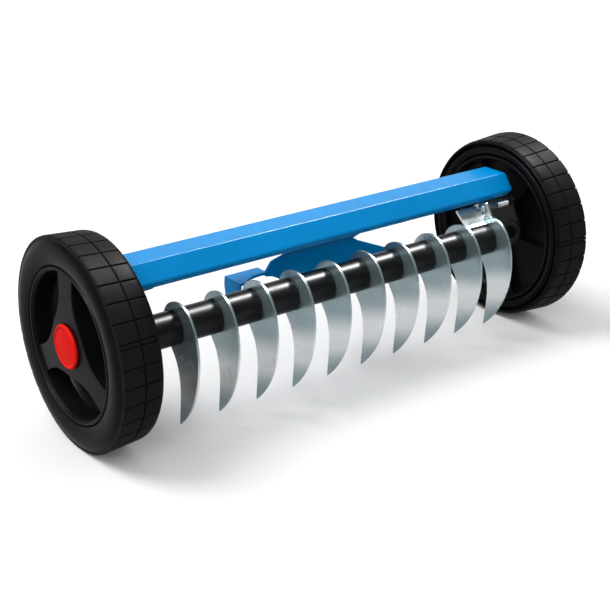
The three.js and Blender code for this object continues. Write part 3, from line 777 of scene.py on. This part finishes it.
def stop_bolt():
    place = (STOP_BOLT_Y, STOP_BOLT_Z)
    head = lathe(rounded([
        (0, STOP_ARM_X - 3.4, 0), (STOP_HEAD_RADIUS / 2, STOP_ARM_X - 3.4, 1.2),
        (STOP_HEAD_RADIUS, STOP_ARM_X - 1.5, 0.8), (STOP_HEAD_RADIUS, STOP_ARM_X - GAP, 0.2),
        (0, STOP_ARM_X - GAP, 0),
    ]), 60, *place)
    shank = threaded(STOP_BOLT_RADIUS, STOP_ARM_X - 1, 195, 176, 194, *place, 1.0, 0.4)
    socket = plate(hexagon(*place, 3.6), STOP_ARM_X - 4, STOP_ARM_X - 1.8, 0.05, steps=1)
    return cut(joined(head, shank), socket)


def axle_bolt(side):
    head_x = WASHER_X + 1 + GAP
    head = hex_body(NUT_ACROSS, head_x, head_x + BOLT_HEAD_THICKNESS, 0, 0)
    shank = threaded(AXLE_RADIUS, BRACKET_X - 8, head_x + 1, 180.8, 187)
    return mirrored(joined(head, shank), side)


def across_wheel(side, start, end):
    """Both ends along X of a part on the wheel's axle, the lower one first."""
    return sorted((side * start, side * end))


for label, side in SIDES:
    bore = AXLE_RADIUS + GAP
    ends = across_wheel(side, WASHER_X, WASHER_X + 1)
    piece(f"{label}_axle_washer", tube(bore, WASHER_RADIUS, *ends, bevel=0.25),
          "frame", "zinc_steel")
    ends = across_wheel(side, BRACKET_X + SHEET + GAP, WEB_X + 12)
    piece(f"{label}_wheel_bush", tube(bore, BUSH_RADIUS, *ends), f"{label}_wheel", "nylon")
    piece(f"{label}_axle_bolt", axle_bolt(side), "frame", "zinc_steel")
    ends = across_wheel(side, BRACKET_X - GAP - NUT_THICKNESS, BRACKET_X - GAP)
    piece(f"{label}_axle_nut", hex_body(NUT_ACROSS, *ends, 0, 0, bore), "frame", "zinc_steel")
    piece(f"{label}_shaft_bush", shaft_bush(side), "frame", "nylon")
    for k, x in enumerate(BRACKET_SCREWS_X):
        piece(f"{label}_bracket_screw_{k + 1}", bracket_screw(side * x), "frame", "zinc_steel")
piece("blade_shaft",
      threaded(SHAFT_RADIUS, -SHAFT_END_X, SHAFT_END_X, 160.4, 178, SHAFT_Y, SHAFT_Z),
      "blade_shaft", "black_paint")
start = STOP_ARM_X + SHEET + GAP
piece("shaft_nut",
      hex_body(NUT_ACROSS, start, start + NUT_THICKNESS, SHAFT_Y, SHAFT_Z, SHAFT_RADIUS + GAP),
      "blade_shaft", "zinc_steel")
piece("stop_bolt", stop_bolt(), "frame", "zinc_steel")
start = BRACKET_X + SHEET + GAP
piece("stop_nut",
      hex_body(STOP_NUT_ACROSS, start, start + STOP_NUT_THICKNESS, STOP_BOLT_Y, STOP_BOLT_Z,
               STOP_BOLT_RADIUS + GAP),
      "frame", "zinc_steel")


# ------------------------------------------------------------------ swing stop and end brackets
def around_shaft(radius, degrees):
    return on_circle(SHAFT_Y, SHAFT_Z, radius, math.radians(degrees))


def arc(radius, start, end, steps):
    return [around_shaft(radius, start + (end - start) * k / steps) for k in range(steps + 1)]


def round_end(middle, half, first):
    """Points of a half circle in degrees from first, without its two ends."""
    return [on_circle(*middle, half, math.radians(first) + math.pi * k / 8) for k in range(1, 8)]


def slot_around_shaft(orbit, half, start, end):
    """A curved slot with round ends, from one angle to the other."""
    return (arc(orbit + half, start, end, 10) + round_end(around_shaft(orbit, end), half, end)
            + arc(orbit - half, end, start, 10)
            + round_end(around_shaft(orbit, start), half, start + 180))


def stop_arm():
    """A plate on the shaft with a curved slot for the stop bolt, and a slanted flange."""
    orbit = math.hypot(STOP_BOLT_Y - SHAFT_Y, STOP_BOLT_Z - SHAFT_Z)
    bolt_angle = math.degrees(math.atan2(STOP_BOLT_Z - SHAFT_Z, STOP_BOLT_Y - SHAFT_Y))
    last_angle = bolt_angle - SWING_RANGE
    half = STOP_BOLT_RADIUS + 0.4
    eye = arc(14, bolt_angle + 50, last_angle - 50 + 360, 24)
    fan = arc(orbit + half + 1.6, last_angle - 13, bolt_angle + 12, 10)
    loop = fillet(fan + eye, [2.5] + [0] * 9 + [2.5] + [0] * len(eye))
    side_plate = plate(loop, STOP_ARM_X, STOP_ARM_X + SHEET, 0.45, holes=[
        slot_around_shaft(orbit, half, last_angle, bolt_angle),
        circle(SHAFT_Y, SHAFT_Z, SHAFT_RADIUS + GAP)])
    flange = plate(rounded([
        (-33.5, 20.4, 0.5), (-30.6, 21.2, 3), (-17, 33, 0.7), (-18.6, 34.9, 0.7), (-24, 30.2, 0),
        (-31.4, 23.5, 3), (-34.4, 22.6, 0.7),
    ]), STOP_FLANGE_X, STOP_ARM_X + 1, 0.4)
    head_room = tube(orbit - STOP_HEAD_RADIUS - GAP, orbit + 12, STOP_ARM_X - 4.2, STOP_ARM_X,
                     SHAFT_Y, SHAFT_Z, 0, 72)
    tube_room = rod(SPACER_RADIUS + GAP, STOP_FLANGE_X - 1, STOP_ARM_X, SHAFT_Y, SHAFT_Z, 0, 72)
    last_x = blade_x(BLADE_COUNT - 1)
    blade_room = [(y * 1.03 + SHAFT_Y, z * 1.03 + SHAFT_Z) for y, z in blade_outline()]
    blade_room = plate(blade_room, last_x - SPACER_INSET, last_x + SPACER_INSET, 0.02, steps=1)
    return joined(side_plate, cut(flange, head_room, tube_room, blade_room))


def end_bracket(side):
    top = BEAM_LOW_Z - GAP
    loop = rounded([(-27, top, 3), (12, top, 1.5), (13, 0, 13), (0, -13, 13), (-36, -2.8, 11),
                    (-43, 10, 11), (-31, 33, 6)], 8)
    holes = [circle(0, 0, AXLE_RADIUS + GAP), circle(SHAFT_Y, SHAFT_Z, SHAFT_BUSH_RADIUS + GAP)]
    if side > 0:
        holes.append(circle(STOP_BOLT_Y, STOP_BOLT_Z, STOP_BOLT_RADIUS + GAP, 32))
    panel = plate(loop, BRACKET_X, BRACKET_X + SHEET, 0.4, holes=holes)
    tab = rounded([(164, -17, 4), (BRACKET_X + 1, -20, 0), (BRACKET_X + 1, 9, 0), (164, 6, 4)], 6)
    screw_holes = [circle(x, BEAM_MID_Y, BRACKET_SCREW_RADIUS + GAP, 32) for x in BRACKET_SCREWS_X]
    flange = plate(tab, top - SHEET, top, 0.4, along_z, screw_holes)
    return mirrored(joined(panel, flange), side)


piece("stop_arm", stop_arm(), "blade_shaft", "zinc_steel")
for label, side in SIDES:
    piece(f"{label}_end_bracket", end_bracket(side), "frame", "black_paint")

# ------------------------------------------------------------------ handle bracket and socket
WALL_FRONT_Y = 3.0
WALL_BACK_Y = WALL_FRONT_Y + SHEET
WALL_LOW_Z = -3.0
SHELF_Z = 14.5
CHEEK_X = -82.0
WING_TURN = -24             # degrees the right wing of the bracket is bent back
SOCKET_TILT = math.radians(40)
SOCKET_RADIUS = 14.5
SOCKET_BORE = 12.3
SOCKET_LENGTH = 36.0
SOCKET_BASE = (13.0, 6.0)
RIVETS = ((-18, 1.8), (18, 1.8), (-18, 18.2), (18, 18.2))
CLAMP_ALONG = 22.0
CLAMP_Y = SOCKET_BASE[0] + CLAMP_ALONG * math.cos(SOCKET_TILT)
CLAMP_Z = SOCKET_BASE[1] + CLAMP_ALONG * math.sin(SOCKET_TILT)
KNOB_X = SOCKET_RADIUS + 8
KNOB_THICKNESS = 9.0
KNOB_RADIUS = 9.45
KNOB_LOBES = 6
LOBE_HEIGHT = 1.15


def handle_bracket():
    """A pressed bracket: a wall with one wing, a riser to the beam, and a shelf with a cheek."""
    top = BEAM_LOW_Z - GAP
    low = WALL_LOW_Z
    riser = plate(rounded([
        (-16, top, 0.8), (8, top, 0.8), (8, top - SHEET, 0.8), (-10, top - SHEET, 1.2),
        (WALL_BACK_Y, 25, 3), (WALL_BACK_Y, 20, 0.3), (WALL_FRONT_Y, 20, 0.3),
        (WALL_FRONT_Y, 24, 2),
    ]), -36, 36, 0.5)
    wall = plate(rounded([
        (-52, SHELF_Z, 1), (-46, 22.5, 4), (-36, 25, 4), (36, 25, 3), (41, 22.5, 0.6),
        (41, low, 0.6), (-28, low, 3), (-36, 4.5, 6), (-45, 9.5, 6), (-52, 11, 1),
    ], 5), WALL_FRONT_Y, WALL_BACK_Y, 0.5, along_y)
    wing = plate(rounded([(-1, 22.5, 0.3), (32, 11, 2), (32, low, 2), (-1, low, 0.3)], 5),
                 -SHEET, 0, 0.5, along_y)
    wing = shifted(turned_by(wing, WING_TURN, "Z"), 40.5, WALL_BACK_Y, 0)
    inside = WALL_FRONT_Y + 1
    arch = bezier((-75, -4.5), (-71.7, 0.8), (-65.3, 3.7), (-56, inside), 10)
    shelf = plate([(-50, inside), (-50, 17), (CHEEK_X, 17), (CHEEK_X, -4.5)] + arch
                  + [(-56, inside)], SHELF_Z - SHEET, SHELF_Z, 0.5, along_z)
    curve = bezier((16.9, 14.4), (18.6, 8.8), (18.2, 3.0), (15.5, low), 8)[1:]
    ear = [(-4.5, 14.4), (16.9, 14.4)] + curve + [(15.5, low), (-1, -5)]
    cheek = plate(fillet(ear, [0.5, 0.5] + [0] * len(curve) + [2.5, 2.5]),
                  CHEEK_X, CHEEK_X + SHEET, 0.5)
    return joined(wall, riser, wing, shelf, cheek)


def along_socket(bm):
    """Turns a body from the X axis to the socket's tilted line."""
    turned_by(bm, 90, "Z")
    turned_by(bm, math.degrees(SOCKET_TILT), "X")
    return shifted(bm, 0, *SOCKET_BASE)


def rivet(x, z, y):
    dome = lathe(rounded([(0, -1, 0), (3.0, -1, 0.2), (2.6, 1.1, 0.7), (0, 1.4, 0)]), 32)
    return shifted(turned_by(dome, 90, "Z"), x, y, z)


def handle_socket():
    """A tilted socket on a riveted foot, with a threaded boss for the clamp screw."""
    back = WALL_BACK_Y + GAP
    mouth = SOCKET_BORE + 1.2
    sleeve = along_socket(rod(SOCKET_RADIUS, -12, SOCKET_LENGTH, bevel=0.9, segments=96))
    bore = along_socket(lathe([
        (0, 2), (SOCKET_BORE, 2), (SOCKET_BORE, SOCKET_LENGTH - 0.8), (mouth, SOCKET_LENGTH + 0.4),
        (mouth, SOCKET_LENGTH + 5), (0, SOCKET_LENGTH + 5),
    ], 96))
    foot = plate(fillet([(-22, -2), (22, -2), (22, 22), (-22, 22)], 4, 6),
                 back, back + SHEET, 0.5, along_y)
    rivets = [rivet(x, z, back + SHEET) for x, z in RIVETS]
    in_front = plate([(-60, -60), (60, -60), (60, 60), (-60, 60)],
                     back - 60, back, 0.01, along_y, steps=1)
    boss = rod(7, SOCKET_BORE - 1, SOCKET_RADIUS + 4, CLAMP_Y, CLAMP_Z, 0.7, 60)
    thread = rod(STOP_BOLT_RADIUS + GAP, SOCKET_BORE - 3, SOCKET_RADIUS + 6,
                 CLAMP_Y, CLAMP_Z, 0, 40)
    return cut(joined(sleeve, foot, boss, *rivets), in_front, bore, thread)


def clamp_screw():
    """A screw with a lobed knob, hollow in the middle."""
    start = SOCKET_BORE - 0.8
    shank = threaded(STOP_BOLT_RADIUS, start, KNOB_X + 2, start + 1, KNOB_X - 1,
                     CLAMP_Y, CLAMP_Z, 1.0, 0.35)
    loop = []
    for k in range(96):
        angle = TAU * k / 96
        radius = KNOB_RADIUS + LOBE_HEIGHT * math.cos(KNOB_LOBES * angle)
        loop.append(on_circle(CLAMP_Y, CLAMP_Z, radius, angle))
    knob = plate(loop, KNOB_X, KNOB_X + KNOB_THICKNESS, 1.5, steps=5)
    above = KNOB_X + KNOB_THICKNESS + 0.4
    dimple = lathe(rounded([(0, above - 1.8, 0), (4.6, above - 1.2, 1), (5.6, above, 0.3),
                            (0, above, 0)]), 60, CLAMP_Y, CLAMP_Z)
    return cut(joined(knob, shank), dimple)


piece("handle_bracket", handle_bracket(), "frame", "blue_paint")
piece("handle_socket", handle_socket(), "frame", "blue_paint")
piece("handle_clamp_screw", clamp_screw(), "clamp_screw", "black_plastic")

# ------------------------------------------------------------------ camera, floor and light
CAMERA_AT = (-0.6045, -0.7875, 0.4775)
CAMERA_AIM = (-0.01516, 0, 0.06065)
CAMERA_LENS = 76.9
FLOOR_SIZE = 30
BOUNCED = (0.16, 0.16, 0.17)        # the floor as light that bounces up from it
REFLECTED = (0.68, 0.68, 0.69)      # the floor as it is seen in reflections
ROOM_LEVEL = 0.72
ROOM_REFLECTED = 0.22
# name, where it comes from, strength, spread in degrees, whether it lights only reflections
SUNS = (
    ("key", (-0.45, 0.35, 0.82), 1.7, 34, False),
    ("fill", (-0.5, -0.6, 0.62), 0.5, 30, False),
    ("edge", (0.556, 0.12, 0.82), 7.0, 16, True),
    ("sheen", (-0.8, 0.1, 0.6), 4.0, 18, True),
    ("back", (0.556, 0.73, 0.39), 0.34, 40, True),
)


def camera():
    data = bpy.data.cameras.new("camera")
    data.sensor_width = 36
    data.lens = CAMERA_LENS
    data.clip_end = 50
    obj = bpy.data.objects.new("camera", data)
    obj.location = CAMERA_AT
    aim = Vector(CAMERA_AIM) - obj.location
    obj.rotation_euler = aim.to_track_quat("-Z", "Y").to_euler()
    bpy.context.scene.collection.objects.link(obj)
    return obj


def floor():
    """A pale studio floor that throws little light back up under the object."""
    bm = bmesh.new()
    bmesh.ops.create_grid(bm, x_segments=2, y_segments=2, size=FLOOR_SIZE)
    obj = to_object(bm, "floor")
    mat = surface("pale_floor", specular=0.0)
    cloud = noise(mat, 2, 2)
    seen = blend_colour(mat, cloud, (0.93, 0.93, 0.935), (0.95, 0.95, 0.955))
    ray = node(mat, "ShaderNodeLightPath")
    for kind, colour in (("Is Diffuse Ray", BOUNCED), ("Is Glossy Ray", REFLECTED)):
        mixed = node(mat, "ShaderNodeMix", data_type="RGBA")
        link(mat, ray.outputs[kind], mixed.inputs[0])
        link(mat, seen, mixed.inputs[6])
        mixed.inputs[7].default_value = (*colour, 1)
        seen = mixed.outputs[2]
    finish_surface(mat, seen, between(mat, cloud, 0.75, 0.8))
    obj.data.materials.append(mat)


def sun(name, towards, strength, spread, gloss_only):
    data = bpy.data.lights.new(name, "SUN")
    data.energy = strength
    data.angle = math.radians(spread)
    obj = bpy.data.objects.new(name, data)
    obj.visible_diffuse = not gloss_only
    obj.rotation_euler = (-Vector(towards)).to_track_quat("-Z", "Y").to_euler()
    bpy.context.scene.collection.objects.link(obj)


def room():
    """Light from all round, dimmer in reflections so that black parts stay black."""
    world = bpy.data.worlds.new("studio")
    world.use_nodes = True
    nodes, links = world.node_tree.nodes, world.node_tree.links
    light = nodes["Background"]
    light.inputs["Color"].default_value = (1, 1, 1, 1)
    ray = nodes.new("ShaderNodeLightPath")
    level = nodes.new("ShaderNodeMapRange")
    level.inputs["To Min"].default_value = ROOM_LEVEL
    level.inputs["To Max"].default_value = ROOM_REFLECTED
    links.new(ray.outputs["Is Glossy Ray"], level.inputs["Value"])
    links.new(level.outputs["Result"], light.inputs["Strength"])
    return world


bpy.context.scene.view_settings.view_transform = "Standard"
bpy.context.scene.camera = camera()
bpy.context.scene.world = room()
floor()
for settings in SUNS:
    sun(*settings)
